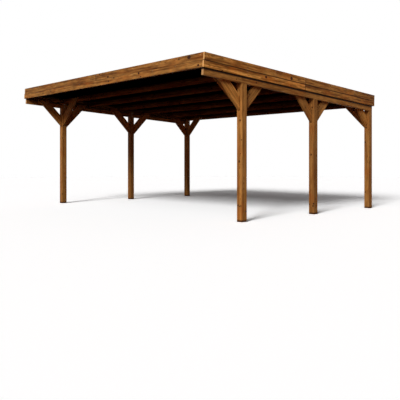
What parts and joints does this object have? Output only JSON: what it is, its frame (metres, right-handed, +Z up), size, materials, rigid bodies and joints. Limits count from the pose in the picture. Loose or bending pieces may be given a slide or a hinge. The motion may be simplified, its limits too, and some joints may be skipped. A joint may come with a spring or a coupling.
{
  "type": "carport",
  "caption": "Open timber carport: square posts, side beams, knee braces and a flat roof that falls gently to the back behind a deep board fascia.",
  "frame": {"origin": "on the ground, at the middle of the width and of the roof depth", "axes": "+X across the parking bays to the right side, +Y from the entrance to the low back edge, +Z up"},
  "size_m": [6.052, 5.157, 2.7092],
  "materials": {
    "frame_timber": "spruce with a satin brown stain, grain and knots showing",
    "fascia_boards": "planed spruce boards with a satin brown stain",
    "roof_sheet": "ribbed steel sheet with a matt anthracite coating"
  },
  "bodies": {
    "root": {"beam_left": "frame_timber", "beam_right": "frame_timber", "brace_left_front_aft": "frame_timber", "brace_left_front_fore": "frame_timber", "brace_left_middle_aft": "frame_timber", "brace_left_middle_fore": "frame_timber", "brace_left_rear_fore": "frame_timber", "brace_right_front_aft": "frame_timber", "brace_right_front_fore": "frame_timber", "brace_right_middle_aft": "frame_timber", "brace_right_middle_fore": "frame_timber", "brace_right_rear_fore": "frame_timber", "cross_brace_left_front": "frame_timber", "cross_brace_left_rear": "frame_timber", "cross_brace_right_front": "frame_timber", "cross_brace_right_rear": "frame_timber", "fascia_front_lower": "fascia_boards", "fascia_front_upper": "fascia_boards", "fascia_left_lower": "fascia_boards", "fascia_left_upper": "fascia_boards", "fascia_rear_lower": "fascia_boards", "fascia_rear_upper": "fascia_boards", "fascia_right_lower": "fascia_boards", "fascia_right_upper": "fascia_boards", "post_left_front": "frame_timber", "post_left_middle": "frame_timber", "post_left_rear": "frame_timber", "post_right_front": "frame_timber", "post_right_middle": "frame_timber", "post_right_rear": "frame_timber", "purlin_0": "frame_timber", "purlin_1": "frame_timber", "purlin_2": "frame_timber", "purlin_3": "frame_timber", "purlin_4": "frame_timber", "purlin_5": "frame_timber", "purlin_6": "frame_timber", "rear_packers": "frame_timber", "roof_sheet_1": "roof_sheet", "roof_sheet_2": "roof_sheet", "roof_sheet_3": "roof_sheet", "roof_sheet_4": "roof_sheet", "roof_sheet_5": "roof_sheet", "roof_sheet_6": "roof_sheet"}
  },
  "joints": []
}
